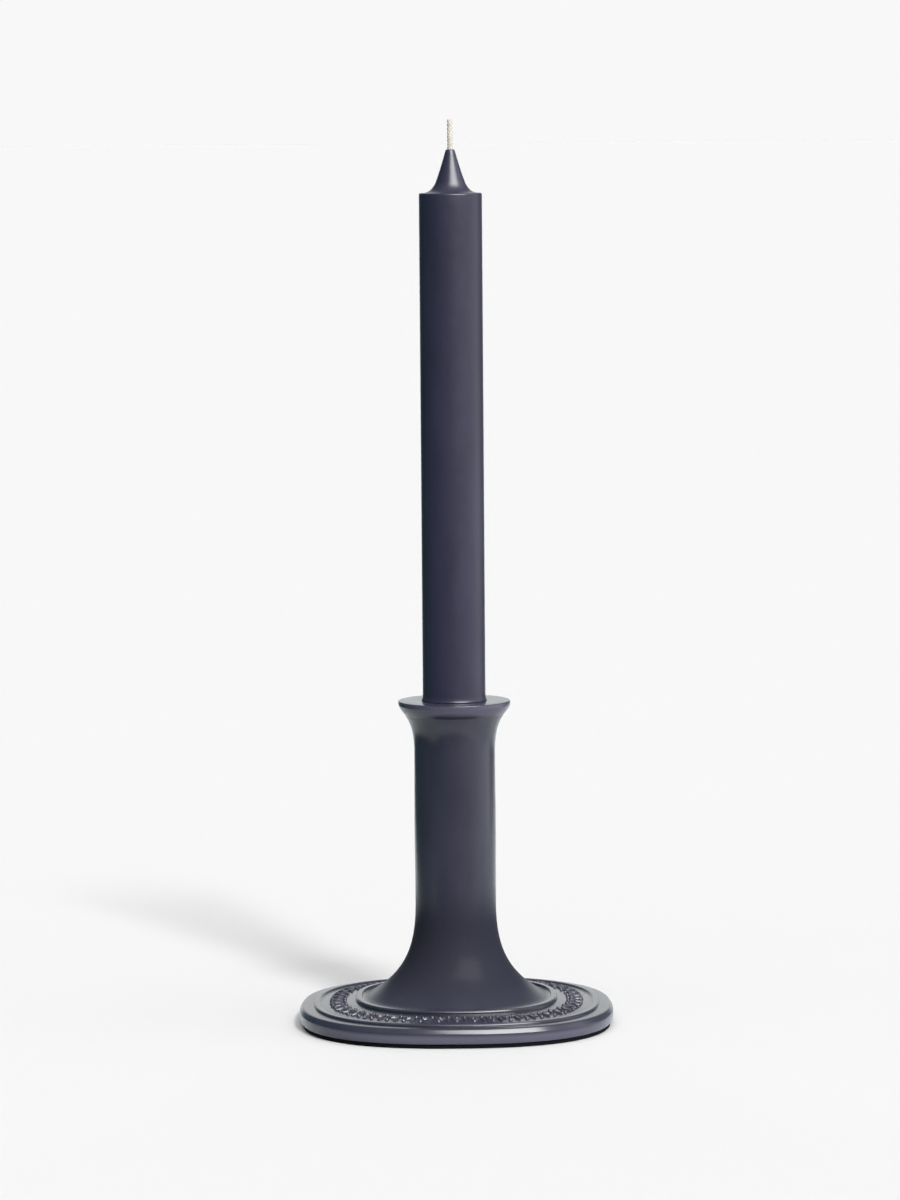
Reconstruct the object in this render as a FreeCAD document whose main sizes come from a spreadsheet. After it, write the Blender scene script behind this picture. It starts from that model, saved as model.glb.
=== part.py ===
import FreeCAD, Part
import math
import os
import Sketcher

# Candlestick with its taper candle.  Millimetres, +Z up.  The origin is the centre of the
# footprint, on the surface that the candlestick stands on.
# Pieces: the cast candlestick, a felt pad under its foot, the candle and its wick.

DOC = FreeCAD.newDocument("candlestick_with_candle")

SIZES = [
    ("foot_half_width", 55.25, "half the width of the soft-square foot"),
    ("side_ratio", 2.0, "radius of a long side arc over the half width of its outline"),
    ("corner_ratio", 0.78, "radius of a corner arc over the half width of its outline"),
    ("pad_thickness", 1.5, "felt pad; the cast foot starts on top of it"),
    ("pad_inset", 0.9, "pad edge inside the foot edge"),
    ("land_height", 6.9, "flat land of the foot, outside the ridge"),
    ("foot_round", 3.2, "rounding of the foot's upper edge"),
    ("foot_lower_round", 0.6, "rounding of the foot's lower edge"),
    ("ridge_half_width", 50.2, "outer wall of the ridge"),
    ("ridge_top", 7.9, "height of the ridge"),
    ("bead_half_width", 35.5, "outer wall of the inner bead"),
    ("bead_top", 9.9, "height of the inner bead"),
    ("ring_breadth", 2.1, "ridge and bead, wall to wall"),
    ("ring_round", 0.35, "rounding of their top edges"),
    ("core_bottom", 2.5, "start of the turned form, inside the foot plate"),
    ("ring_bottom", 3.5, "start of the ridge and the bead, inside the foot plate"),
    ("dome_radius", 49.0, "where the sloping floor of the band meets the land"),
    ("dome_inner_height", 9.0, "height of that floor where the flare starts"),
    ("flare_radius", 33.1, "where the flare of the stem meets the floor"),
    ("flare_low_arc", 30.0, "radius of the flare's lower arc"),
    ("flare_high_arc", 60.0, "radius of the flare's upper arc"),
    ("stem_radius", 14.2, "stem"),
    ("cove_arc", 27.0, "radius of the cove under the collar"),
    ("lip_under_radius", 19.0, "underside of the collar's lip"),
    ("lip_under_height", 111.4, "height of that underside"),
    ("lip_side_height", 113.4, "where the lip is widest"),
    ("collar_radius", 19.7, "collar"),
    ("collar_top", 114.2, "top face of the collar, which the candle stands on"),
    ("socket_radius", 11.15, "candle socket"),
    ("socket_depth", 28.0, "candle socket"),
    ("socket_chamfer", 0.5, "mouth of the socket"),
    ("peg_radius", 10.8, "end of the candle that stands in the socket"),
    ("peg_length", 25.0, "end of the candle that stands in the socket"),
    ("peg_chamfer", 1.2, "lead-in at the peg's end"),
    ("candle_radius", 11.0, "candle shaft"),
    ("candle_foot_radius", 12.3, "flared foot of the candle, on the collar"),
    ("candle_foot_edge", 0.35, "upright edge of that flare"),
    ("candle_foot_height", 2.7, "height of that flare"),
    ("shoulder_height", 177.6, "candle shoulder above the collar"),
    ("shoulder_round", 0.4, "edge of the shoulder"),
    ("tip_height", 192.7, "top of the wax tip above the collar"),
    ("tip_radius", 1.35, "wax tip at its top"),
    ("tip_low_radius", 5.45, "wax tip where its fillet starts"),
    ("tip_low_height", 180.6, "height of that point above the collar"),
    ("tip_fillet", 4.4, "fillet between the tip and the shoulder"),
    ("wick_radius", 1.0, "braided cotton wick"),
    ("wick_top", 203.2, "end of the wick above the collar"),
    ("wick_bottom", 2.0, "lower end of the wick, above the end of the peg"),
]


def make_sheet():
    """Spreadsheet with one row per driving dimension."""
    sheet = DOC.addObject("Spreadsheet::Sheet", "sizes")
    for row, (alias, value, note) in enumerate(SIZES, start=1):
        sheet.set(f"A{row}", alias)
        sheet.set(f"B{row}", str(value))
        sheet.set(f"C{row}", note)
        sheet.setAlias(f"B{row}", alias)
    DOC.recompute()
    return sheet


SHEET = make_sheet()


def size(alias):
    """Value of a driving dimension, for the first guess of a sketch."""
    return float(SHEET.get(alias))


def make_body(name):
    body = DOC.addObject("PartDesign::Body", name)
    body.Label = name
    return body


def origin_plane(body, role):
    """One of the body's own origin planes, such as XY_Plane."""
    for feature in body.Origin.OriginFeatures:
        if feature.Role == role:
            return feature
    raise RuntimeError(f"{body.Label} has no {role}")


def make_sketch(body, name, role, height=None):
    """Sketch on an origin plane, lifted by the named height."""
    sketch = body.newObject("Sketcher::SketchObject", name)
    sketch.AttachmentSupport = [(origin_plane(body, role), "")]
    sketch.MapMode = "FlatFace"
    if height:
        sketch.setExpression("AttachmentOffset.Base.z", height)
    return sketch


def constrain(sketch, name, expression, *definition):
    """Add a constraint whose value follows the sheet."""
    index = sketch.addConstraint(Sketcher.Constraint(*definition))
    sketch.renameConstraint(index, name)
    sketch.setExpression(f"Constraints.{name}", expression)


# ---------------------------------------------------------------- soft-square outlines

# the numbers that Sketcher gives to an edge's points and to a sketch's own axes
START = 1
END = 2
CENTRE = 3
HORIZONTAL_AXIS = -1
VERTICAL_AXIS = -2

# how far an edge that a fillet looks for may lie from its outline, in mm, and how much
# further from the axis than its sides a soft square's corners reach
EDGE_MARGIN = 0.2
DIAGONAL_REACH = 1.2


def soft_square(sketch, prefix, half_expression, half):
    """Closed outline of four long side arcs and four corner arcs, tangent all round."""
    side = size("side_ratio") * half
    corner = size("corner_ratio") * half
    reach = side - half
    # the corner arc's centre lies on the diagonal, and both arcs touch there
    offset = (-reach + math.sqrt(2 * (side - corner) ** 2 - reach ** 2)) / 2
    swing = math.atan2(offset, offset + reach)
    up = FreeCAD.Vector(0, 0, 1)
    sides = []
    corners = []
    for quarter in range(4):
        turn = quarter * math.pi / 2
        centre = FreeCAD.Vector(-reach * math.cos(turn), -reach * math.sin(turn), 0)
        circle = Part.Circle(centre, up, side)
        arc = Part.ArcOfCircle(circle, turn - swing, turn + swing)
        sides.append(sketch.addGeometry(arc, False))
        middle = turn + math.pi / 4
        away = offset * math.sqrt(2)
        centre = FreeCAD.Vector(away * math.cos(middle), away * math.sin(middle), 0)
        circle = Part.Circle(centre, up, corner)
        arc = Part.ArcOfCircle(circle, turn + swing, turn + math.pi / 2 - swing)
        corners.append(sketch.addGeometry(arc, False))
    for quarter in range(4):
        following = sides[(quarter + 1) % 4]
        sketch.addConstraint(Sketcher.Constraint("Tangent", sides[quarter], END, corners[quarter], START))
        sketch.addConstraint(Sketcher.Constraint("Tangent", corners[quarter], END, following, START))
        axis = HORIZONTAL_AXIS if quarter % 2 == 0 else VERTICAL_AXIS
        sketch.addConstraint(Sketcher.Constraint("PointOnObject", sides[quarter], CENTRE, axis))
        kind = "DistanceX" if quarter % 2 == 0 else "DistanceY"
        ends = (sides[quarter], CENTRE, HORIZONTAL_AXIS, START)
        if quarter >= 2:
            ends = (HORIZONTAL_AXIS, START, sides[quarter], CENTRE)
        constrain(sketch, f"{prefix}_reach_{quarter}", f"({half_expression}) * (sizes.side_ratio - 1)",
                  kind, *ends, reach)
        if quarter:
            sketch.addConstraint(Sketcher.Constraint("Equal", sides[0], sides[quarter]))
            sketch.addConstraint(Sketcher.Constraint("Equal", corners[0], corners[quarter]))
    constrain(sketch, f"{prefix}_side", f"({half_expression}) * sizes.side_ratio",
              "Radius", sides[0], side)
    constrain(sketch, f"{prefix}_corner", f"({half_expression}) * sizes.corner_ratio",
              "Radius", corners[0], corner)


def soft_square_pad(body, name, bottom, length, outlines):
    """Prism between soft-square outlines; a second outline makes it a ring."""
    sketch = make_sketch(body, f"{name}_outline", "XY_Plane", bottom)
    for prefix, expression, half in outlines:
        soft_square(sketch, prefix, expression, half)
    pad = body.newObject("PartDesign::Pad", name)
    pad.Profile = sketch
    pad.setExpression("Length", length)
    DOC.recompute()
    return pad


def edges_where(feature, test):
    """Names of the feature's edges for which test(edge) is true."""
    edges = feature.Shape.Edges
    return [f"Edge{number}" for number, edge in enumerate(edges, start=1) if test(edge)]


def fillet(body, name, base, radius, test):
    """Round the chosen edges of the base feature."""
    names = edges_where(base, test)
    if not names:
        raise RuntimeError(f"{name} found no edges")
    feature = body.newObject("PartDesign::Fillet", name)
    feature.Base = (base, names)
    feature.setExpression("Radius", radius)
    DOC.recompute()
    return feature


def level_outline(height, nearest, farthest):
    """Test for edges at one height whose distance from the axis is in a range."""
    def test(edge):
        box = edge.BoundBox
        if abs(box.ZMin - height) > 1e-4 or abs(box.ZMax - height) > 1e-4:
            return False
        middle = edge.valueAt((edge.FirstParameter + edge.LastParameter) / 2)
        return nearest < math.hypot(middle.x, middle.y) < farthest
    return test


# ---------------------------------------------------------------- half sections

class Section:
    """Half section in the XZ plane, drawn point by point and bound to the sheet."""

    def __init__(self, body, name):
        self.sketch = make_sketch(body, name, "XZ_Plane")
        self.edges = []
        self.here = None

    def line(self, start, finish):
        edge = Part.LineSegment(FreeCAD.Vector(*start, 0), FreeCAD.Vector(*finish, 0))
        self.edges.append(self.sketch.addGeometry(edge, False))
        return self.edges[-1]

    def arc(self, start, through, finish):
        points = [FreeCAD.Vector(*point, 0) for point in (start, through, finish)]
        self.edges.append(self.sketch.addGeometry(Part.Arc(*points), False))
        return self.edges[-1]

    def end_of(self, geometry, point):
        """START or END, whichever end of the geometry lies nearer to the point."""
        target = FreeCAD.Vector(*point, 0)
        gaps = [(self.sketch.getPoint(geometry, end).distanceToPoint(target), end) for end in (START, END)]
        return min(gaps)[1]

    def join(self, first, second, point, tangent=False):
        """Both edges meet at the point, and turn there smoothly if they are tangent."""
        kind = "Tangent" if tangent else "Coincident"
        ends = (first, self.end_of(first, point), second, self.end_of(second, point))
        self.sketch.addConstraint(Sketcher.Constraint(kind, *ends))

    def place(self, geometry, point, name, across=None, up=None):
        """Bind a corner to expressions for its radius and its height."""
        end = self.end_of(geometry, point)
        if across == "0":
            self.sketch.addConstraint(Sketcher.Constraint("PointOnObject", geometry, end, VERTICAL_AXIS))
        elif across:
            constrain(self.sketch, f"{name}_across", across,
                      "DistanceX", HORIZONTAL_AXIS, START, geometry, end, point[0])
        if up:
            if abs(point[1]) < 1e-9:
                self.sketch.addConstraint(
                    Sketcher.Constraint("PointOnObject", geometry, end, HORIZONTAL_AXIS))
            else:
                flipped = point[1] < 0
                ends = (HORIZONTAL_AXIS, START, geometry, end)
                if flipped:
                    ends = (geometry, end, HORIZONTAL_AXIS, START)
                constrain(self.sketch, f"{name}_up", f"-({up})" if flipped else up,
                          "DistanceY", *ends, abs(point[1]))


def revolve(body, name, sketch):
    turned = body.newObject("PartDesign::Revolution", name)
    turned.Profile = sketch
    turned.ReferenceAxis = (sketch, ["V_Axis"])
    turned.Angle = 360.0
    DOC.recompute()
    return turned


# ---------------------------------------------------------------- candlestick

def turned_profile(body):
    """Dome of the foot, flare, stem, cove and collar as one half section."""
    section = Section(body, "turned_section")
    core = size("core_bottom")
    dome = size("dome_radius")
    land = size("land_height")
    flare_end = (size("flare_radius"), size("dome_inner_height"))
    stem = size("stem_radius")
    low = size("flare_low_arc")
    high = size("flare_high_arc")
    # first guess of the flare: its slope from the vertical at the floor and where its arcs meet
    leave = math.radians(68)
    meet = math.radians(12)
    joint = (stem + high * (1 - math.cos(meet)), flare_end[1] + low * (math.sin(leave) - math.sin(meet)))
    flare_top = (stem, joint[1] + high * math.sin(meet))
    turn = (leave + meet) / 2
    low_middle = (joint[0] + low * (math.cos(meet) - math.cos(turn)),
                  joint[1] - low * (math.sin(turn) - math.sin(meet)))
    turn = meet / 2
    high_middle = (stem + high * (1 - math.cos(turn)), flare_top[1] - high * math.sin(turn))
    lip = (size("lip_under_radius"), size("lip_under_height"))
    cove = size("cove_arc")
    spread = math.acos(1 - (lip[0] - stem) / cove)
    cove_foot = (stem, lip[1] - cove * math.sin(spread))
    cove_middle = (stem + cove * (1 - math.cos(spread / 2)), cove_foot[1] + cove * math.sin(spread / 2))
    collar = (size("collar_radius"), size("lip_side_height"))
    top = size("collar_top")
    nose_radius = top - collar[1]
    edge = (collar[0] - nose_radius, top)
    nose = (edge[0] + nose_radius * math.sqrt(0.5), collar[1] + nose_radius * math.sqrt(0.5))

    bottom = section.line((0, core), (dome, core))
    wall = section.line((dome, core), (dome, land))
    floor = section.line((dome, land), flare_end)
    low_arc = section.arc(flare_end, low_middle, joint)
    high_arc = section.arc(joint, high_middle, flare_top)
    shaft = section.line(flare_top, cove_foot)
    cove_arc = section.arc(cove_foot, cove_middle, lip)
    under = section.line(lip, collar)
    nose_arc = section.arc(collar, nose, edge)
    face = section.line(edge, (0, top))
    axis = section.line((0, top), (0, core))

    section.join(bottom, wall, (dome, core))
    section.join(wall, floor, (dome, land))
    section.join(floor, low_arc, flare_end)
    section.join(low_arc, high_arc, joint, tangent=True)
    section.join(high_arc, shaft, flare_top, tangent=True)
    section.join(shaft, cove_arc, cove_foot, tangent=True)
    section.join(cove_arc, under, lip)
    section.join(under, nose_arc, collar)
    section.join(nose_arc, face, edge, tangent=True)
    section.join(face, axis, (0, top))
    section.join(axis, bottom, (0, core))

    sketch = section.sketch
    sketch.addConstraint(Sketcher.Constraint("Horizontal", bottom))
    sketch.addConstraint(Sketcher.Constraint("Vertical", wall))
    sketch.addConstraint(Sketcher.Constraint("Vertical", shaft))
    sketch.addConstraint(Sketcher.Constraint("Horizontal", face))
    section.place(axis, (0, core), "core", across="0", up="sizes.core_bottom")
    section.place(axis, (0, top), "top", across="0", up="sizes.collar_top")
    section.place(wall, (dome, land), "dome", "sizes.dome_radius", "sizes.land_height")
    section.place(floor, flare_end, "flare", "sizes.flare_radius", "sizes.dome_inner_height")
    section.place(shaft, cove_foot, "stem", "sizes.stem_radius")
    section.place(under, lip, "lip", "sizes.lip_under_radius", "sizes.lip_under_height")
    section.place(under, collar, "collar", "sizes.collar_radius", "sizes.lip_side_height")
    constrain(sketch, "low_arc", "sizes.flare_low_arc", "Radius", low_arc, low)
    constrain(sketch, "high_arc", "sizes.flare_high_arc", "Radius", high_arc, high)
    constrain(sketch, "cove_arc", "sizes.cove_arc", "Radius", cove_arc, cove)
    constrain(sketch, "nose_arc", "sizes.collar_top - sizes.lip_side_height",
              "Radius", nose_arc, nose_radius)
    return sketch


def soft_square_ring(body, name):
    """Raised ring of the foot, from inside the foot plate up to its rounded top."""
    outer = size(f"{name}_half_width")
    inner = outer - size("ring_breadth")
    outlines = [("outer", f"sizes.{name}_half_width", outer),
                ("inner", f"sizes.{name}_half_width - sizes.ring_breadth", inner)]
    ring = soft_square_pad(body, name, "sizes.ring_bottom", f"sizes.{name}_top - sizes.ring_bottom", outlines)
    fillet(body, f"{name}_round", ring, "sizes.ring_round",
           level_outline(size(f"{name}_top"), inner - EDGE_MARGIN, outer * DIAGONAL_REACH))


def cut_socket(body):
    """Candle socket with a small chamfer at its mouth."""
    radius = size("socket_radius")
    outline = make_sketch(body, "socket_outline", "XY_Plane", "sizes.collar_top")
    bore = Part.Circle(FreeCAD.Vector(0, 0, 0), FreeCAD.Vector(0, 0, 1), radius)
    circle = outline.addGeometry(bore, False)
    outline.addConstraint(Sketcher.Constraint("Coincident", circle, CENTRE, HORIZONTAL_AXIS, START))
    constrain(outline, "bore", "sizes.socket_radius", "Radius", circle, radius)
    socket = body.newObject("PartDesign::Pocket", "socket")
    socket.Profile = outline
    socket.setExpression("Length", "sizes.socket_depth")
    DOC.recompute()
    mouth = edges_where(socket, level_outline(size("collar_top"), radius - EDGE_MARGIN, radius + EDGE_MARGIN))
    chamfer = body.newObject("PartDesign::Chamfer", "socket_mouth")
    chamfer.Base = (socket, mouth)
    chamfer.setExpression("Size", "sizes.socket_chamfer")
    DOC.recompute()


def make_candlestick():
    """Foot, flare, stem and collar, cast in one piece, with the candle's socket."""
    body = make_body("candlestick")
    revolve(body, "turned_form", turned_profile(body))

    half = size("foot_half_width")
    plate = soft_square_pad(body, "foot_plate", "sizes.pad_thickness",
                            "sizes.land_height - sizes.pad_thickness",
                            [("foot", "sizes.foot_half_width", half)])
    rounded = fillet(body, "foot_upper_round", plate, "sizes.foot_round",
                     level_outline(size("land_height"), half - EDGE_MARGIN, half * DIAGONAL_REACH))
    fillet(body, "foot_lower_round", rounded, "sizes.foot_lower_round",
           level_outline(size("pad_thickness"), half - EDGE_MARGIN, half * DIAGONAL_REACH))
    soft_square_ring(body, "ridge")
    soft_square_ring(body, "bead")
    cut_socket(body)
    return body


# ---------------------------------------------------------------- felt pad

def make_foot_pad():
    """Felt sheet glued under the foot, a little inside its edge."""
    body = make_body("foot_pad")
    inset = size("foot_half_width") - size("pad_inset")
    sketch = make_sketch(body, "pad_outline", "XY_Plane")
    soft_square(sketch, "pad", "sizes.foot_half_width - sizes.pad_inset", inset)
    pad = body.newObject("PartDesign::Pad", "pad_sheet")
    pad.Profile = sketch
    pad.setExpression("Length", "sizes.pad_thickness")
    DOC.recompute()
    return body


# ---------------------------------------------------------------- candle

def candle_profile(body):
    """Peg, flared foot, shaft, shoulder and tip, around the wick's channel."""
    section = Section(body, "candle_section")
    wick = size("wick_radius")
    peg = size("peg_radius")
    end = -size("peg_length")
    lead = size("peg_chamfer")
    foot = size("candle_foot_radius")
    shaft = size("candle_radius")
    rise = size("candle_foot_height")
    shoulder = size("shoulder_height")
    low = (size("tip_low_radius"), size("tip_low_height"))
    tip = (size("tip_radius"), size("tip_height"))
    fillet_radius = size("tip_fillet")
    # the fillet leaves the shoulder level and ends at the tip's lower point
    drop = low[1] - shoulder
    swing = math.acos(1 - drop / fillet_radius)
    shelf = (low[0] + fillet_radius * math.sin(swing), shoulder)
    hollow = (shelf[0] - fillet_radius * math.sin(swing / 2),
              shoulder + fillet_radius * (1 - math.cos(swing / 2)))
    # the foot's hollow is an arc that runs up into the shaft
    toe = (foot, size("candle_foot_edge"))
    ankle = (shaft, rise)
    spread = foot - shaft
    bend = (spread ** 2 + (rise - toe[1]) ** 2) / (2 * spread)
    half_turn = math.asin((rise - toe[1]) / bend) / 2
    instep = (shaft + bend * (1 - math.cos(half_turn)), rise - bend * math.sin(half_turn))

    points = [(wick, end), (peg - lead, end), (peg, end + lead), (peg, 0), (foot, 0), toe,
              ankle, (shaft, shoulder), shelf, low, tip, (wick, tip[1])]
    bottom, lead_in, peg_side, seat, edge = [section.line(a, b) for a, b in zip(points[:5], points[1:6])]
    foot_arc = section.arc(toe, instep, ankle)
    side = section.line(ankle, points[7])
    ledge = section.line(points[7], shelf)
    tip_arc = section.arc(shelf, hollow, low)
    cone = section.line(low, tip)
    crown = section.line(tip, points[11])
    channel = section.line(points[11], points[0])
    edges = [bottom, lead_in, peg_side, seat, edge, foot_arc, side, ledge, tip_arc, cone, crown, channel]
    smooth = [ankle, shelf]
    for index, corner in enumerate(points[1:] + points[:1]):
        following = edges[(index + 1) % len(edges)]
        section.join(edges[index], following, corner, tangent=corner in smooth)

    sketch = section.sketch
    for level in (bottom, seat, ledge, crown):
        sketch.addConstraint(Sketcher.Constraint("Horizontal", level))
    for upright in (peg_side, edge, side, channel):
        sketch.addConstraint(Sketcher.Constraint("Vertical", upright))
    section.place(bottom, points[0], "channel", "sizes.wick_radius", "-sizes.peg_length")
    section.place(lead_in, points[1], "lead", "sizes.peg_radius - sizes.peg_chamfer")
    section.place(peg_side, points[2], "peg", "sizes.peg_radius", "sizes.peg_chamfer - sizes.peg_length")
    section.place(seat, points[3], "seat", None, "0")
    section.place(edge, toe, "toe", "sizes.candle_foot_radius", "sizes.candle_foot_edge")
    section.place(side, ankle, "ankle", "sizes.candle_radius", "sizes.candle_foot_height")
    section.place(ledge, points[7], "shoulder", None, "sizes.shoulder_height")
    section.place(cone, low, "tip_low", "sizes.tip_low_radius", "sizes.tip_low_height")
    constrain(sketch, "tip_fillet", "sizes.tip_fillet", "Radius", tip_arc, fillet_radius)
    section.place(cone, tip, "tip", "sizes.tip_radius", "sizes.tip_height")
    return sketch


def make_candle():
    """Wax candle; its local zero is the collar's top face."""
    body = make_body("candle")
    form = revolve(body, "candle_form", candle_profile(body))
    radius = size("candle_radius")
    fillet(body, "shoulder_round", form, "sizes.shoulder_round",
           level_outline(size("shoulder_height"), radius - 0.1, radius + 0.1))
    body.setExpression("Placement.Base.z", "sizes.collar_top")
    DOC.recompute()
    return body


def make_wick():
    """Braided cotton wick along the candle's axis."""
    wick = DOC.addObject("Part::Cylinder", "wick")
    wick.Label = "wick"
    wick.setExpression("Radius", "sizes.wick_radius")
    wick.setExpression("Height", "sizes.wick_top + sizes.peg_length - sizes.wick_bottom")
    wick.setExpression("Placement.Base.z", "sizes.collar_top - sizes.peg_length + sizes.wick_bottom")
    DOC.recompute()
    return wick


# ---------------------------------------------------------------- build, check and write

PIECES = [make_candlestick(), make_foot_pad(), make_candle(), make_wick()]
DOC.recompute()

for thing in DOC.Objects:
    if "Invalid" in thing.State or "Error" in thing.State:
        raise RuntimeError(f"{thing.Name} failed: {thing.State}")

for piece in PIECES:
    shape = piece.Shape
    if shape.isNull() or not shape.isValid() or len(shape.Solids) != 1:
        raise RuntimeError(f"{piece.Label} isn't one valid solid")

os.makedirs("parts", exist_ok=True)
for piece in PIECES:
    piece.Shape.exportStep(f"parts/{piece.Label}.step")
    box = piece.Shape.BoundBox
    print(f"{piece.Label}: {piece.Shape.Volume / 1000:.1f} cm3, "
          f"{box.XLength:.1f} x {box.YLength:.1f} x {box.ZLength:.1f} mm, "
          f"z {box.ZMin:.1f} to {box.ZMax:.1f}")
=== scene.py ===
"""Looks of the candlestick with its taper candle: detailed meshes, materials, light and camera.

Profiles are drawn in millimetres from the axis and from the table, on the sizes that the CAD
frame gives, and become metres when a mesh is made.
"""
import math

import bpy
import numpy as np
from mathutils import Matrix, Vector


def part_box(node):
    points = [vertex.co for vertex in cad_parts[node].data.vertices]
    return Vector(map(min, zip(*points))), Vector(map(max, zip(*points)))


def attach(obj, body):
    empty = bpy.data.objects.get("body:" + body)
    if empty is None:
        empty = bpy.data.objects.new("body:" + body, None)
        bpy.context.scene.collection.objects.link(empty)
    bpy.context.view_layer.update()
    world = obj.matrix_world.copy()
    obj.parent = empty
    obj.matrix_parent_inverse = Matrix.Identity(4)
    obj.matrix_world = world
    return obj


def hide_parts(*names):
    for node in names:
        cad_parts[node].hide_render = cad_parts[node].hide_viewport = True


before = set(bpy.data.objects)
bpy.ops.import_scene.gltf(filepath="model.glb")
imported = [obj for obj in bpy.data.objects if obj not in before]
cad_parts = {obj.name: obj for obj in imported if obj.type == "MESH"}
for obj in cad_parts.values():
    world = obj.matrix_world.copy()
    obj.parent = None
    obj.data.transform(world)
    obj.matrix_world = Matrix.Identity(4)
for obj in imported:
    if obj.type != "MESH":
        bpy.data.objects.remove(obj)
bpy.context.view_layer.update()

MM = 0.001


# ---------------------------------------------------------------- sizes from the CAD frame

def span(node):
    """Half width, lowest and highest height of a CAD node, in millimetres."""
    low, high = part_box(node)
    return high.x / MM, low.z / MM, high.z / MM


FOOT, UNDERSIDE, COLLAR_TOP = span("candlestick")
PAD, TABLE, PAD_TOP = span("foot_pad")
_, PEG_END, CANDLE_TOP = span("candle")
WICK, WICK_END, WICK_TOP = span("wick")

LAND = UNDERSIDE + 5.4          # land of the foot, outside the ridge
RIDGE = FOOT - 5.05             # outer wall of the ridge
BEAD = RIDGE - 14.7             # outer wall of the bead
RING = 2.1                      # breadth of the ridge and of the bead
RIDGE_TOP = LAND + 0.88
BEAD_FOOT = LAND + 1.6          # top of the band's sloping floor
BEAD_TOP = LAND + 2.95
GROOVE = LAND + 2.3             # bottom of the groove between bead and flare
BAND_FLOOR = BEAD + 0.2         # the band's floor, from the bead ...
BAND_EDGE = RIDGE - RING - 0.2  # ... to the ridge
ORNAMENT = (BAND_FLOOR + BAND_EDGE) / 2     # middle line of the ornament
FLARE = 33.07                   # foot of the flare
FLARE_TOP = 42.4                # height where the flare has become the stem
STEM = 14.2                     # the stem at both its ends
COVE_FOOT = COLLAR_TOP - 18.1   # height where the stem starts to widen into the collar
LIP_LINE = COLLAR_TOP - 4.8     # soft valley under the collar's lip
LIP = 19.7                      # the collar at its widest
SOCKET = 11.15
SOCKET_FLOOR = COLLAR_TOP - 28
SHAFT = 11.0                    # the candle above its foot
SKIRT = 11.4                    # the candle's foot, where it meets the collar
PEG = 10.8                      # the candle inside the socket
SHOULDER = COLLAR_TOP + 177.6   # top of the candle's shaft
HAIR = 0.02                     # gap between felt and casting, and felt's innermost corners

SQUARE_POWER = 2.45             # soft square of the foot; 2 is a circle
COARSE = 240                    # columns round the candlestick
FINE = 6 * COARSE               # columns where the ornament is
EDGE = 3 * COARSE               # columns of the felt
CANDLE_COLUMNS = 192
CORE_COLUMNS = 24               # columns of the wick's core


# ---------------------------------------------------------------- outlines

def unit(vector):
    """The vector at a length of 1."""
    return vector / np.linalg.norm(vector)


def rounded(corners, arc_steps=6):
    """Polyline through (radius, height, rounding) corners, with an arc at each rounded one."""
    points = []
    for index, (radius, height, rounding) in enumerate(corners):
        here = np.array([radius, height], float)
        if not rounding:
            points.append(here)
            continue
        before = np.array(corners[index - 1][:2], float)
        after = np.array(corners[(index + 1) % len(corners)][:2], float)
        back, ahead = unit(before - here), unit(after - here)
        half_angle = math.acos(max(-1.0, min(1.0, float(back @ ahead)))) / 2
        room = 0.48 * min(np.linalg.norm(before - here), np.linalg.norm(after - here))
        cut = min(rounding / math.tan(half_angle), room)
        inner = cut * math.tan(half_angle)
        centre = here + unit(back + ahead) * inner / math.sin(half_angle)
        first = here + back * cut - centre
        last = here + ahead * cut - centre
        sweep = math.pi - 2 * half_angle
        for step in range(arc_steps + 1):
            share = step / arc_steps
            turned = math.sin((1 - share) * sweep) * first + math.sin(share * sweep) * last
            points.append(centre + turned / math.sin(sweep))
    return [tuple(point) for point in points]


def bezier(start, lean_out, lean_in, finish, steps):
    """Points of a cubic curve, the last one included and the first one left out."""
    ends = [np.array(point, float) for point in (start, lean_out, lean_in, finish)]
    points = []
    for step in range(1, steps + 1):
        t = step / steps
        weights = ((1 - t) ** 3, 3 * t * (1 - t) ** 2, 3 * t ** 2 * (1 - t), t ** 3)
        points.append(tuple(sum(weight * end for weight, end in zip(weights, ends))))
    return points


def subdivided(points, spacing):
    """The same line with no two neighbours further apart than the spacing."""
    dense = [points[0]]
    for start, finish in zip(points, points[1:]):
        steps = max(1, math.ceil(math.dist(start, finish) / spacing - 1e-6))
        for step in range(1, steps + 1):
            share = step / steps
            dense.append(tuple(a + (b - a) * share for a, b in zip(start, finish)))
    return dense


def outline_reach(angle, power):
    """Distance from the axis over half width, round a soft square."""
    return (np.abs(np.cos(angle)) ** power + np.abs(np.sin(angle)) ** power) ** (-1 / power)


def ring(half, height, power=2.0, columns=COARSE):
    """One level ring of points, in millimetres."""
    angle = np.arange(columns) * math.tau / columns
    reach = half * outline_reach(angle, power)
    return np.stack([reach * np.cos(angle), reach * np.sin(angle), np.full(columns, float(height))], 1)


# ---------------------------------------------------------------- meshes

def add_object(name, points, faces, smooth=True):
    """Mesh object from points in millimetres."""
    mesh = bpy.data.meshes.new(name)
    mesh.from_pydata([tuple(point) for point in np.asarray(points) * MM], [], faces)
    mesh.validate()
    mesh.update()
    mesh.polygons.foreach_set("use_smooth", [smooth] * len(mesh.polygons))
    thing = bpy.data.objects.new(name, mesh)
    bpy.context.scene.collection.objects.link(thing)
    return thing


def paint(thing, name, values):
    """Keep one number per point, given ring by ring, for the material to read."""
    layer = thing.data.attributes.new(name, "FLOAT", "POINT")
    layer.data.foreach_set("value", np.concatenate(values).astype(np.float32))


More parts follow.
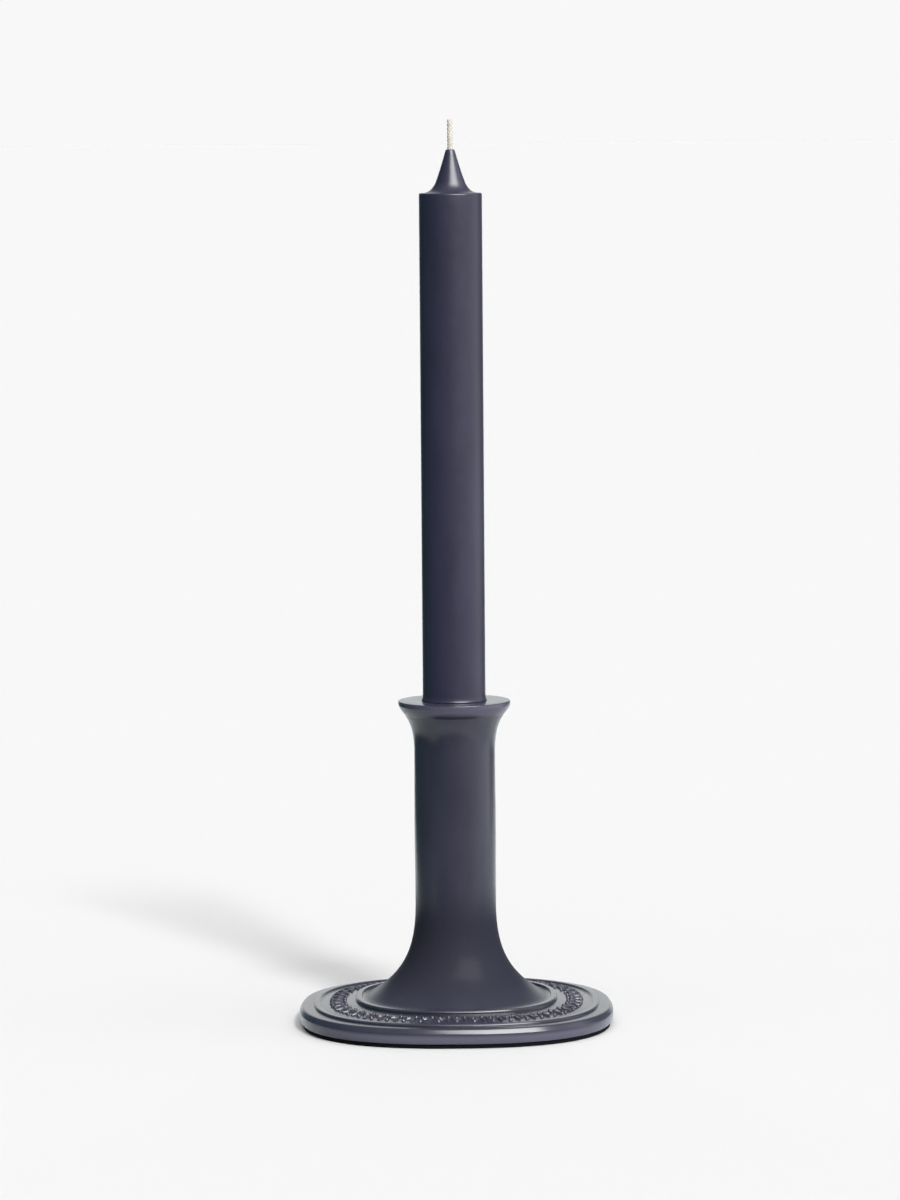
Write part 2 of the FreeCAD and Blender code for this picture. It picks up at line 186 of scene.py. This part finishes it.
def strip_faces(first, first_count, second, second_count):
    """Faces between two rings, given the number of their first point and their point counts."""
    if 1 in (first_count, second_count):
        count = max(first_count, second_count)
        if first_count == 1:
            return [(first, second + (j + 1) % count, second + j) for j in range(count)]
        return [(first + j, first + (j + 1) % count, second) for j in range(count)]
    columns = min(first_count, second_count)
    lower, upper = first_count // columns, second_count // columns
    faces = []
    for j in range(columns):
        below = [first + (j * lower + k) % first_count for k in range(lower + 1)]
        above = [second + (j * upper + k) % second_count for k in range(upper + 1)]
        faces.append(tuple(below + above[::-1]))
    return faces


def skin(name, rings, closed=False):
    """Closed surface over rings of points.  A ring of one point is a pole."""
    starts = np.cumsum([0] + [len(points) for points in rings])
    pairs = list(zip(range(len(rings)), range(1, len(rings))))
    if closed:
        pairs.append((len(rings) - 1, 0))
    faces = []
    for a, b in pairs:
        faces += strip_faces(int(starts[a]), len(rings[a]), int(starts[b]), len(rings[b]))
    return add_object(name, np.concatenate(rings), faces)


# ---------------------------------------------------------------- ornament of the foot's band

BAND_REACH = 3.45      # half width of the ornament
BAND_FADE = 0.3        # it dies away over this distance at both edges
MARK_REACH = 4.5       # no leaf or berry reaches further than this along the band
ROW = 0.19             # distance between the rings of the relief
RELIEF = 0.72          # height of its tops
WALL = 0.42            # breadth of its sloping sides
PALMETTES = 46         # fans of leaves round the foot
SIDE_SHADE = 5.0            # how dark the painted shade at the feet of its sides is
TOP_HIGHLIGHT = 0.35       # how pale the painted highlight on its tops is


def plateau(inside):
    """Flat-topped relief with sloping sides, given the distance inside its outline."""
    rise = np.clip(inside / WALL + 0.5, 0, 1)
    return rise * rise * (3 - 2 * rise)


def leaf(along, across, length, breadth):
    """Pointed leaf with a faint midrib, from its root at 0."""
    t = np.clip(along / length, 0, 1)
    half = breadth * np.sin(math.pi * t ** 0.8)
    midrib = 1 - 0.12 * np.exp(-(across / 0.15) ** 2) * (t < 0.8)
    return plateau(half - np.abs(across)) * midrib * ((along > 0) & (along < length))


def berry(along, across, radius):
    """Round berry."""
    return plateau(radius - np.hypot(along, across))


def ornament_marks(pitch):
    """Leaves and berries of one round: (shape, place along, place across, turn, sizes).

    Every fan has an upright leaf over a berry, a leaf on each side that leans in over it, and two
    berries in the gap after it.  The fans differ a little, as hand-cut ones do.
    """
    random = np.random.default_rng(11)
    marks = []
    outward = math.pi / 2
    for palmette in range(PALMETTES):
        uneven = random.uniform(-1, 1, 7)
        middle = (palmette + 0.03 * uneven[0]) * pitch
        marks.append((leaf, middle, -1.2, outward + 0.05 * uneven[1], (4.2 + 0.2 * uneven[2], 0.55)))
        marks.append((berry, middle, -2.4, 0.0, (0.55,)))
        for side in (1, -1):
            lean = side * (0.6 + 0.05 * uneven[3])
            marks.append((leaf, middle + side, -1.9, outward - lean, (2.9 + 0.15 * uneven[4], 0.5)))
        marks.append((berry, middle + 0.5 * pitch, 2.1 + 0.1 * uneven[5], 0.0, (0.58,)))
        marks.append((berry, middle + 0.5 * pitch, -1.3 + 0.1 * uneven[6], 0.0, (0.46,)))
    return marks


def ornament(along_band, across_band, total):
    """Relief from 0 to 1 at places along and across the band, in millimetres."""
    relief = np.zeros(along_band.shape)
    for shape, middle, rise, turn, sizes in ornament_marks(total / PALMETTES):
        shift = (along_band[0] - middle + total / 2) % total - total / 2
        near = np.abs(shift) < MARK_REACH
        along = shift[near] * math.cos(turn) + (across_band[:, near] - rise) * math.sin(turn)
        across = -shift[near] * math.sin(turn) + (across_band[:, near] - rise) * math.cos(turn)
        relief[:, near] = np.maximum(relief[:, near], shape(along, across, *sizes))
    return relief * np.clip((BAND_REACH - np.abs(across_band)) / BAND_FADE, 0, 1)


def band_relief(points):
    """Relief from 0 to 1 on rings through the given points of the band's floor."""
    angle = np.arange(FINE) * math.tau / FINE
    reach = ORNAMENT * outline_reach(angle, SQUARE_POWER)
    line = np.stack([reach * np.cos(angle), reach * np.sin(angle)], 1)
    steps = np.linalg.norm(np.roll(line, -1, 0) - line, axis=1)
    along = np.concatenate([[0], np.cumsum(steps)[:-1]])
    across = np.array([half - ORNAMENT for half, _ in points])
    return ornament(np.broadcast_to(along, (len(points), FINE)),
                    np.broadcast_to(across[:, None], (len(points), FINE)), float(steps.sum()))


# ---------------------------------------------------------------- candlestick

def stem_swell(height):
    """How much fuller the stem is at a height: a hair, in its middle."""
    return 0.12 * math.exp(-((height - 71.6) / 14) ** 2)


def foot_profile():
    """Underside edge, rim, land and ridge, up to the band's floor."""
    edge = rounded([(FOOT - 8, UNDERSIDE, 0), (FOOT - 0.35, UNDERSIDE, 0.5), (FOOT, UNDERSIDE + 1.4, 0)])
    rim = rounded([(FOOT, LAND - 3.2, 0), (FOOT, LAND - 1.85, 0.9), (FOOT - 1.2, LAND - 0.08, 1.1),
                   (RIDGE + 0.25, LAND + 0.03, 0)])
    ridge = rounded([(*rim[-1], 0), (RIDGE + 0.05, LAND + 0.03, 0.1), (RIDGE, LAND + 0.34, 0.3),
                     (RIDGE - 0.45, RIDGE_TOP, 0.5), (RIDGE - RING + 0.3, RIDGE_TOP, 0.6),
                     (BAND_EDGE - 0.2, LAND + 0.22, 0.5), (BAND_EDGE - 0.7, LAND + 0.27, 0)],
                    arc_steps=4)[1:]
    return edge + rim + ridge


def floor_height(half):
    """Height of the band's floor, which rises from the ridge to the bead."""
    share = (BAND_EDGE - half) / (BAND_EDGE - BAND_FLOOR)
    return LAND + 0.2 + (BEAD_FOOT - LAND - 0.2) * share


def bead_profile():
    """Bead and the groove inside it, from the band's floor to the foot of the flare."""
    start = BAND_FLOOR + 0.5
    return rounded([(start, floor_height(start), 0), (BAND_FLOOR - 0.1, BEAD_FOOT, 0.2),
                    (BEAD, BEAD_TOP - 0.62, 0.3), (BEAD - 0.5, BEAD_TOP, 0.5),
                    (BEAD - RING, BEAD_TOP + 0.12, 0.35), (BEAD - RING - 0.25, GROOVE, 0.18),
                    (BEAD - RING - 2, GROOVE + 0.35, 0)], arc_steps=4)


VALLEY = 0.11          # depth of the soft valley under the lip


def upper_profile():
    """Stem, cove, lip, top of the collar and socket."""
    stem = [(STEM + stem_swell(height), height)
            for height in np.linspace(FLARE_TOP + 2.6, COVE_FOOT, 12)]
    curve = bezier((STEM, COVE_FOOT), (STEM, COLLAR_TOP - 7.2), (LIP - 2.1, COLLAR_TOP - 5.2),
                   (LIP - 0.7, COLLAR_TOP - 2.8), 28)
    cove = [(radius - VALLEY * math.exp(-((height - LIP_LINE) / 0.5) ** 2), height)
            for radius, height in curve]
    lip = rounded([(*cove[-2], 0), (*cove[-1], 0.12), (LIP - 0.08, COLLAR_TOP - 1.6, 0.8),
                   (LIP, COLLAR_TOP - 0.7, 0), (LIP - 0.02, COLLAR_TOP, 0.75),
                   (SOCKET + 0.5, COLLAR_TOP, 0.15),
                   (SOCKET, COLLAR_TOP - 0.5, 0.1), (SOCKET, SOCKET_FLOOR, 0.4), (4, SOCKET_FLOOR, 0)],
                  arc_steps=4)[1:]
    return subdivided(stem + cove[:-1] + lip, 5.0)


# creases where shade is painted in, darkest in each crease: (half width, height, reach)
CREASES = ((RIDGE + 0.1, LAND, 0.6), (BAND_EDGE, LAND + 0.2, 0.5), (BAND_FLOOR, BEAD_FOOT, 0.9),
           (BEAD, BEAD_FOOT + 0.5, 0.7), (BEAD - RING - 0.25, GROOVE, 0.5), (LIP - 2.7, LIP_LINE, 0.4))


def crease(half, height):
    """Painted shade: 1 in a crease of the casting, 0 away from it."""
    depths = [1 - math.hypot(half - crease_half, height - crease_height) / reach
              for crease_half, crease_height, reach in CREASES]
    return max(0.0, *depths)


def smooth_step(value, low, high):
    """0 up to low, 1 from high on, and a soft rise between them."""
    share = min(1.0, max(0.0, (value - low) / (high - low)))
    return share * share * (3 - 2 * share)


def polish(half, height):
    """Gloss of the casting: handled all over, but matt in the hollow of the flare."""
    if half > BEAD - RING - 0.5:
        return 1.0
    above = smooth_step(height, FLARE_TOP - 8.4, FLARE_TOP + 9.6)
    below = 1 - smooth_step(height, GROOVE + 0.8, GROOVE + 7.8)
    return max(above, 0.5 * below)


def painted_sheen(half, height):
    """Painted reflection: paler colour on the thin outer wall of the rim and on the face of the lip,
    where they mirror the bright floor.
    """
    rim = smooth_step(half, FOOT - 1.5, FOOT - 0.4) * (1 - smooth_step(height, LAND - 2.5, LAND - 2.0))
    above_line = smooth_step(height, LIP_LINE + 0.4, LIP_LINE + 1.4)
    below_top = 1 - smooth_step(height, COLLAR_TOP - 0.5, COLLAR_TOP)
    outside = smooth_step(half, LIP - 3.7, LIP - 2.7)
    return rim + 0.9 * above_line * below_top * outside


def build_candlestick():
    """Foot, flare, stem, collar and socket as one closed skin, from the underside to the socket."""
    rings = [np.array([[0.0, 0.0, UNDERSIDE]])]
    shade_gloss_sheen = [(0.0, 0.0, 0.0)]    # painted shade, gloss and painted sheen of each ring

    def level(half, height, power, columns=COARSE):
        """Add a ring with its painted shade, gloss and painted sheen."""
        rings.append(ring(half, height, power, columns))
        shade_gloss_sheen.append((crease(half, height), polish(half, height), painted_sheen(half, height)))

    for half in (12, 24, 36):
        level(half, UNDERSIDE, SQUARE_POWER)
    for half, height in foot_profile():
        level(half, height, SQUARE_POWER)
    fine = np.arange(ORNAMENT + BAND_REACH, ORNAMENT - BAND_REACH - 0.01, -ROW)
    floor = [(half, floor_height(half)) for half in fine]
    plain = fine[0] + 1.2       # a plain ring between the ridge and the relief
    level(plain, floor_height(plain), SQUARE_POWER)
    for (half, height), raised in zip(floor, band_relief(floor)):
        level(half, height, SQUARE_POWER, FINE)
        rings[-1][:, 2] += RELIEF * raised
        # painted shade at the feet of the relief's sides, gloss, and a painted highlight on its tops
        shade_gloss_sheen[-1] = (SIDE_SHADE * raised * (1 - raised) ** 2, 1.0, TOP_HIGHLIGHT * raised)
    bead = bead_profile()
    for half, height in bead:
        level(half, height, SQUARE_POWER)
    flare = bezier((FLARE, LAND + 1.6), (STEM + 3.7, 17.0), (STEM, 26.8), (STEM, FLARE_TOP), 34)
    flare_foot = bead[-1][0]
    for half, height in flare:
        if half < flare_foot - 0.2:     # the groove takes the place of the first rings
            squareness = ((half - STEM) / (flare_foot - STEM)) ** 1.5
            level(half, height, 2 + (SQUARE_POWER - 2) * squareness)
    for half, height in upper_profile():
        level(half, height, 2.0)
    rings.append(np.array([[0.0, 0.0, SOCKET_FLOOR]]))
    shade_gloss_sheen.append((0.0, 0.0, 0.0))
    thing = skin("candlestick_casting", rings)
    counts = [len(points) for points in rings]
    for name, column in zip(("crease", "polish", "painted_sheen"), zip(*shade_gloss_sheen)):
        paint(thing, name, [np.broadcast_to(value, count) for value, count in zip(column, counts)])
    return thing


# ---------------------------------------------------------------- candle, wick and pad

def build_candle():
    """Peg, flared foot, shaft, shoulder and drawn tip round the wick's channel."""
    seat = COLLAR_TOP + 0.01    # just clear of the collar
    lower = rounded([(WICK, PEG_END, 0), (PEG - 1.2, PEG_END, 0.3), (PEG, PEG_END + 1.2, 0.3),
                     (PEG, seat, 0.05), (SKIRT - 0.05, seat, 0.12), (SKIRT, COLLAR_TOP + 0.3, 0)])
    foot = bezier(lower[-1], (SKIRT - 0.2, COLLAR_TOP + 0.6), (SHAFT, COLLAR_TOP + 1.2),
                  (SHAFT, COLLAR_TOP + 2.8), 10)
    shoulder = rounded([(*foot[-1], 0), (SHAFT, SHOULDER, 0.6), (9.4, SHOULDER + 0.05, 0)])[1:]
    hollow = bezier(shoulder[-1], (7.5, SHOULDER + 0.2), (6.1, SHOULDER + 1.7),
                    (5.22, SHOULDER + 3.5), 12)
    cone = bezier(hollow[-1], (4.3, SHOULDER + 5.8), (2.6, SHOULDER + 11.2),
                  (1.8, CANDLE_TOP - 0.95), 12)
    tip = rounded([(*cone[-1], 0), (1.5, CANDLE_TOP - 0.05, 0.7), (WICK, CANDLE_TOP, 0)])[1:]
    line = subdivided(lower + foot + shoulder + hollow + cone + tip, 4.0)
    rings = [ring(radius, height, columns=CANDLE_COLUMNS) for radius, height in line]
    return skin("candle_wax", rings, closed=True)


STRANDS = 6            # in each direction round the braid
STRAND = 0.24          # radius of a strand
BRAID_PITCH = 8.0      # height of one turn of a strand
STRAND_STEP = 0.14     # height between its points
WEAVE = 0.05           # how far it goes in and out, over its distance from the axis


def strand_line(turn, start, low, high):
    """Centre line of one strand, weaving over and under those that cross it."""
    heights = np.linspace(low, high, max(2, int((high - low) / STRAND_STEP)))
    angle = start + turn * math.tau * (heights - low) / BRAID_PITCH
    weave = np.cos(angle * STRANDS + (0 if turn > 0 else math.pi))
    radius = (WICK - STRAND) * (1 - WEAVE + WEAVE * weave)
    return np.stack([radius * np.cos(angle), radius * np.sin(angle), heights], 1)


def tube(line, radius, sides=8):
    """Rings round a line that runs mostly upwards, with a pole at each end."""
    aside = (0.3, 1.0, 0.1)     # any direction that the line doesn't take
    rings = [line[:1]]
    for index, point in enumerate(line):
        ahead = unit(line[min(index + 1, len(line) - 1)] - line[max(index - 1, 0)])
        across = unit(np.cross(ahead, aside))
        other = np.cross(ahead, across)
        angle = np.arange(sides)[:, None] * math.tau / sides
        rings.append(point + radius * (np.cos(angle) * across + np.sin(angle) * other))
    rings.append(line[-1:])
    return rings


def build_wick():
    """Round braid where the wick is free, on a plain core that runs down through the wax."""
    braid_low = CANDLE_TOP - 5
    braid_top = WICK_TOP - 0.15
    things = []
    for strand in range(STRANDS):
        for turn in (1, -1):
            line = strand_line(turn, strand * math.tau / STRANDS, braid_low, braid_top)
            things.append(skin(f"strand_{strand}_{turn + 1}", tube(line, STRAND)))
    core = rounded([(0.55 * WICK, WICK_END, 0), (0.9 * WICK, WICK_END + 0.3, 0.1),
                    (0.9 * WICK, braid_low, 0.1), (0.84 * WICK, braid_low + 1.5, 0.1),
                    (0.84 * WICK, braid_top, 0)])
    rings = [np.array([[0.0, 0.0, WICK_END]])]
    rings += [ring(radius, height, columns=CORE_COLUMNS) for radius, height in subdivided(core, 12.0)]
    rings.append(np.array([[0.0, 0.0, braid_top]]))
    things.append(skin("wick_core", rings))
    return joined("wick_braid", things)


def joined(name, things):
    """One object from several, each still a closed skin of its own."""
    with bpy.context.temp_override(active_object=things[0], selected_editable_objects=things):
        bpy.ops.object.join()
    things[0].name = name
    things[0].data.name = name
    return things[0]


FRAY = 0.10            # how far the edge of the felt wanders inwards


def build_pad():
    """Felt sheet with a soft, slightly frayed edge."""
    random = np.random.default_rng(5)
    top = PAD_TOP - HAIR
    line = rounded([(HAIR, TABLE, 0), (PAD - 0.05, TABLE, 0.25), (PAD, top, 0.2),
                    (HAIR, top, 0)], arc_steps=4)
    rings = [np.array([[0.0, 0.0, TABLE]])]
    for half, height in subdivided(line, 6.0)[1:-1]:
        level = ring(half, height, SQUARE_POWER, EDGE)
        if half > PAD - 0.4:
            level[:, :2] *= 1 - random.uniform(0, FRAY, (EDGE, 1)) / PAD
        rings.append(level)
    rings.append(np.array([[0.0, 0.0, top]]))
    return skin("foot_felt", rings)


# ---------------------------------------------------------------- materials

class Nodes:
    """A node tree, with short calls to add and link nodes."""

    def __init__(self, tree):
        self.nodes, self.links = tree.nodes, tree.links

    def add(self, kind, settings=None, **inputs):
        """Node with attributes from settings and sockets from inputs: a value or another socket.

        An input is called by its name, or by an underscore and its number.
        """
        node = self.nodes.new(kind)
        for name, value in (settings or {}).items():
            setattr(node, name, value)
        for name, value in inputs.items():
            numbered = name[1:].isdigit()
            self.feed(node.inputs[int(name[1:]) if numbered else name.replace("_", " ")], value)
        return node

    def feed(self, socket, value):
        """Link a socket to another one, or give it a value."""
        if isinstance(value, bpy.types.NodeSocket):
            self.links.new(value, socket)
        else:
            socket.default_value = value

    def ramp(self, factor, *stops):
        """Colour ramp over (position, colour) stops."""
        node = self.add("ShaderNodeValToRGB", Fac=factor)
        elements = node.color_ramp.elements
        while len(elements) < len(stops):
            elements.new(0.5)
        for element, (position, colour) in zip(elements, stops):
            element.position = position
            element.color = (*colour, 1.0)
        return node.outputs["Color"]

    def blend(self, factor, first, second):
        """Colour between two, each a colour or a socket."""
        node = self.add("ShaderNodeMix", {"data_type": "RGBA"}, Factor=factor)
        for socket, colour in zip(("A_Color", "B_Color"), (first, second)):
            into = next(entry for entry in node.inputs if entry.identifier == socket)
            self.feed(into, colour if isinstance(colour, bpy.types.NodeSocket) else (*colour, 1.0))
        return next(entry for entry in node.outputs if entry.identifier == "Result_Color")


class Shader(Nodes):
    """A new material, with its principled surface and the object's own coordinates."""

    def __init__(self, name):
        self.material = bpy.data.materials.new(name)
        self.material.use_nodes = True
        super().__init__(self.material.node_tree)
        self.surface = self.nodes["Principled BSDF"]
        self.coordinates = self.nodes.new("ShaderNodeTexCoord").outputs["Object"]

    def noise(self, scale, detail=3.0, stretch=(1, 1, 1)):
        """Noise in the object's own metres, from 0 to 1."""
        stretched = self.add("ShaderNodeMapping", Vector=self.coordinates, Scale=stretch)
        return self.add("ShaderNodeTexNoise", Vector=stretched.outputs["Vector"], Scale=scale,
                        Detail=detail).outputs["Fac"]

    def between(self, factor, low, high):
        """The factor's 0 to 1 mapped to low to high."""
        return self.add("ShaderNodeMapRange", Value=factor, To_Min=low, To_Max=high).outputs["Result"]

    def mark(self, name):
        """The number that the mesh keeps under this name."""
        return self.add("ShaderNodeAttribute", {"attribute_name": name}).outputs["Fac"]

    def bump(self, height, distance, normal=None):
        """Normal over a height from 0 to 1 that stands for a distance in metres."""
        node = self.add("ShaderNodeBump", Height=height, Distance=distance)
        if normal is not None:
            self.feed(node.inputs["Normal"], normal)
        return node.outputs["Normal"]


def dyed(shader, dark, light):
    """Colour of dyed wax, with faint clouds drawn out along the axis."""
    return shader.ramp(shader.noise(90, 4.0, (1, 1, 0.35)), (0.35, dark), (0.68, light))


def rippled(shader):
    """Shallow hand-smoothed ripples, small ripples on them and a fine grain."""
    ripples = shader.bump(shader.noise(150, 2.0), 0.12 * MM)
    ripples = shader.bump(shader.noise(620, 2.0), 0.03 * MM, normal=ripples)
    return shader.bump(shader.noise(2600, 3.0), 0.012 * MM, normal=ripples)


def casting(name, dark, light, dull, pale, deep):
    """Matt dyed casting under a hand polish that the flare's hollow lacks."""
    shader = Shader(name)
    surface = shader.surface.inputs
    colour = shader.blend(shader.mark("polish"), dull, dyed(shader, dark, light))
    # painted sheen: paler where the rim's wall and the lip mirror the floor, and on the relief's tops
    colour = shader.blend(shader.mark("painted_sheen"), colour, pale)
    # painted shade: darker in the creases
    shader.feed(surface["Base Color"], shader.blend(shader.mark("crease"), colour, deep))
    shader.feed(surface["Roughness"], shader.between(shader.noise(260, 3.0), 0.5, 0.62))
    shader.feed(surface["Coat Weight"], shader.between(shader.mark("polish"), 0.03, 1.0))
    shader.feed(surface["Normal"], rippled(shader))
    surface["Specular IOR Level"].default_value = 0.04
    surface["Coat Roughness"].default_value = 0.22
    surface["Coat IOR"].default_value = 1.5
    return shader.material


def wax(name, dark, light, roughness):
    """Satin candle wax."""
    shader = Shader(name)
    surface = shader.surface.inputs
    shader.feed(surface["Base Color"], dyed(shader, dark, light))
    haze = shader.between(shader.noise(260, 3.0), roughness - 0.05, roughness + 0.05)
    shader.feed(surface["Roughness"], haze)
    shader.feed(surface["Normal"], rippled(shader))
    surface["IOR"].default_value = 1.5
    return shader.material


def felt(name):
    """Black felt with short fibres, near black so that it also stands for the contact shade in the dark
    line under the foot's edge.
    """
    shader = Shader(name)
    fibres = shader.noise(2200, 6.0)
    shader.feed(shader.surface.inputs["Base Color"],
                shader.ramp(fibres, (0.3, (0.003, 0.003, 0.004)), (0.7, (0.012, 0.012, 0.014))))
    shader.feed(shader.surface.inputs["Normal"], shader.bump(fibres, 0.3 * MM))
    shader.surface.inputs["Roughness"].default_value = 0.95
    shader.surface.inputs["Specular IOR Level"].default_value = 0.15
    return shader.material


def cotton(name):
    """Unbleached cotton yarn."""
    shader = Shader(name)
    yarn = shader.noise(3200, 4.0, (1, 1, 0.25))
    shader.feed(shader.surface.inputs["Base Color"],
                shader.ramp(yarn, (0.3, (0.80, 0.74, 0.63)), (0.7, (0.92, 0.89, 0.82))))
    shader.feed(shader.surface.inputs["Normal"], shader.bump(yarn, 0.08 * MM))
    shader.surface.inputs["Roughness"].default_value = 0.8
    shader.surface.inputs["Sheen Weight"].default_value = 0.2
    return shader.material


def place(thing, material, body, node):
    """Give the piece its material and let it stand for its CAD node."""
    thing.data.materials.clear()
    thing.data.materials.append(material)
    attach(thing, body)
    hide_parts(node)


# deep is the colour of the painted shade, pale that of the painted sheen
SATIN = casting("satin_casting", dark=(0.039, 0.039, 0.064), light=(0.050, 0.049, 0.079),
                dull=(0.036, 0.037, 0.056), pale=(0.125, 0.121, 0.182), deep=(0.013, 0.014, 0.022))
WAX = wax("candle_wax", dark=(0.036, 0.034, 0.066), light=(0.048, 0.045, 0.086), roughness=0.35)

place(build_candlestick(), SATIN, "holder", "candlestick")
place(build_candle(), WAX, "candle_body", "candle")
place(build_wick(), cotton("cotton_wick"), "candle_body", "wick")
place(build_pad(), felt("black_felt"), "holder", "foot_pad")


# ---------------------------------------------------------------- floor and light

FLOOR = (0.833, 0.833, 0.833)   # how much light the white floor returns
PAPER = (0.80, 0.85, 0.86)      # the same for the sheet that the gloss mirrors
WHITE = 0.939                   # background as the camera sees it


def build_floor():
    """White floor to the horizon, and a smaller sheet of it for the object's reflections."""
    for name, colour, (left, right, front, back), height in (
            ("floor", FLOOR, (-60000, 60000, -60000, 60000), TABLE),
            ("paper", PAPER, (-265, 410, -150, 1500), TABLE - 0.05)):
        shader = Shader(f"{name}_white")
        shader.surface.inputs["Base Color"].default_value = (*colour, 1)
        shader.surface.inputs["Roughness"].default_value = 1.0
        shader.surface.inputs["Specular IOR Level"].default_value = 0.0
        corners = [(*corner, height)
                   for corner in ((left, front), (right, front), (right, back), (left, back))]
        plane = add_object(name, corners, [(0, 1, 2, 3)], smooth=False)
        plane.data.materials.append(shader.material)
        plane.visible_camera = name == "floor"
        plane.visible_glossy = name == "paper"
        plane.visible_diffuse = False       # the lamp "table_glow" stands for the floor's own light
        plane.visible_shadow = False


build_floor()


def direction(azimuth, elevation):
    """Unit vector towards a place in the studio.  Azimuth 0 is in front, 90 on the right."""
    turn, rise = math.radians(azimuth), math.radians(elevation)
    return np.array([math.sin(turn) * math.cos(rise), -math.cos(turn) * math.cos(rise), math.sin(rise)])


def add_lamp(name, kind, azimuth, elevation):
    """Lamp that shines from a place in the studio towards the object."""
    lamp = bpy.data.objects.new(name, bpy.data.lights.new(name, kind))
    bpy.context.scene.collection.objects.link(lamp)
    lamp.rotation_euler = Vector(direction(azimuth, elevation)).to_track_quat("Z", "Y").to_euler()
    return lamp


# soft light that gloss doesn't mirror: (name, azimuth, elevation, angle across, strength)
SOFT_LIGHT = [("key", 22.4, 41, 9.5, 1.6), ("overhead", 20, 72, 100, 2.2),
              ("table_glow", 30, -30, 80, 0.9), ("side", 80, 10, 60, 0.45), ("back", 180, 25, 60, 0.7)]

# the softbox that gloss mirrors: where it is, and its size in metres
SOFTBOX = (34, 51)              # azimuth and elevation
SOFTBOX_AWAY = 1.2
SOFTBOX_WIDTH = 0.86
SOFTBOX_HEIGHT = 0.70
SOFTBOX_WATTS = 28.6


def build_lamps():
    """Key and fill that light the surfaces, and a softbox that they mirror."""
    for name, azimuth, elevation, angle, strength in SOFT_LIGHT:
        lamp = add_lamp(name, "SUN", azimuth, elevation)
        lamp.data.angle = math.radians(angle)
        lamp.data.energy = strength
        lamp.data.use_shadow = name != "back"       # the photo has no shadow in front
        lamp.visible_glossy = False
    box = add_lamp("softbox", "AREA", *SOFTBOX)
    box.location = direction(*SOFTBOX) * SOFTBOX_AWAY
    box.data.shape = "RECTANGLE"
    box.data.size = SOFTBOX_WIDTH
    box.data.size_y = SOFTBOX_HEIGHT
    box.data.energy = SOFTBOX_WATTS
    box.visible_diffuse = False


build_lamps()

# what the gloss mirrors round the object: (azimuth from the front, to the right, colour)
BACKDROP = (0.98, 1.01, 1.00)
STUDIO = [
    (-180, BACKDROP),
    (-167, BACKDROP),
    (-157, (0.06, 0.12, 0.13)),     # a dark room on the left
    (-135, (0.03, 0.08, 0.09)),
    (-105, (0.03, 0.13, 0.15)),
    (-50, (0.03, 0.12, 0.14)),
    (0, (0.12, 0.12, 0.15)),        # behind the camera
    (45, (0.45, 0.45, 0.48)),
    (85, (1.15, 1.18, 1.20)),       # a window on the right
    (110, (1.35, 1.40, 1.42)),
    (122, (0.40, 0.42, 0.46)),
    (136, (0.14, 0.15, 0.17)),      # the dark strip between it and the backdrop
    (156, (0.14, 0.16, 0.17)),
    (167, BACKDROP),
    (180, BACKDROP)]
OVERHEAD = (0.24, 0.27, 0.28)
CEILING = (35, 60)              # elevations where the ceiling starts and where only it is left
BRIGHT = 1.5                    # a colour ramp can't hold more than 1


def build_world():
    """Studio walls by azimuth under a dim ceiling.  The camera sees plain white."""
    world = bpy.data.worlds.new("studio")
    bpy.context.scene.world = world
    world.use_nodes = True
    world.cycles_visibility.diffuse = False
    world.node_tree.nodes.clear()
    tree = Nodes(world.node_tree)

    def dimmed(colour):
        """A colour as the ramp holds it."""
        return tuple(channel / BRIGHT for channel in colour)

    way = tree.add("ShaderNodeTexCoord").outputs["Generated"]
    way = tree.add("ShaderNodeSeparateXYZ", Vector=way).outputs
    front = tree.add("ShaderNodeMath", {"operation": "MULTIPLY"}, _0=way["Y"], _1=-1.0).outputs[0]
    azimuth = tree.add("ShaderNodeMath", {"operation": "ARCTAN2"}, _0=way["X"], _1=front).outputs[0]
    turn = tree.add("ShaderNodeMapRange", Value=azimuth, From_Min=-math.pi,
                    From_Max=math.pi).outputs["Result"]
    walls = tree.ramp(turn, *[((degrees + 180) / 360, dimmed(colour)) for degrees, colour in STUDIO])
    low, high = (math.sin(math.radians(degrees)) for degrees in CEILING)
    ceiling = tree.add("ShaderNodeMapRange", {"interpolation_type": "SMOOTHSTEP"}, Value=way["Z"],
                       From_Min=low, From_Max=high).outputs["Result"]
    colour = tree.blend(ceiling, walls, dimmed(OVERHEAD))
    studio = tree.add("ShaderNodeBackground", Color=colour, Strength=BRIGHT).outputs[0]
    plain = tree.add("ShaderNodeBackground", Color=(WHITE, WHITE, WHITE, 1)).outputs[0]
    seen = tree.add("ShaderNodeLightPath").outputs["Is Camera Ray"]
    both = tree.add("ShaderNodeMixShader", _0=seen, _1=studio, _2=plain).outputs[0]
    tree.add("ShaderNodeOutputWorld", Surface=both)


build_world()


# ---------------------------------------------------------------- camera

LENS = 156.24                   # focal length, on a sensor 36 mm wide
EYE = (-1.21, -1818, 318.5)     # millimetres from the middle of the footprint
DOWN = 5.31                     # how far the camera looks down, in degrees
ROLL = -0.44                    # how far it leans, in degrees


def build_camera():
    """Long lens a little above the candle's tip, looking slightly down."""
    lens = bpy.data.cameras.new("camera")
    lens.sensor_width = 36
    lens.lens = LENS
    lens.clip_end = 200
    camera = bpy.data.objects.new("camera", lens)
    bpy.context.scene.collection.objects.link(camera)
    camera.location = Vector(EYE) * MM
    camera.rotation_mode = "XYZ"
    tilt = Matrix.Rotation(math.radians(90 - DOWN), 4, "X")
    roll = Matrix.Rotation(math.radians(ROLL), 4, "Z")
    camera.rotation_euler = (tilt @ roll).to_euler()
    bpy.context.scene.camera = camera


build_camera()
bpy.context.scene.view_settings.view_transform = "Standard"
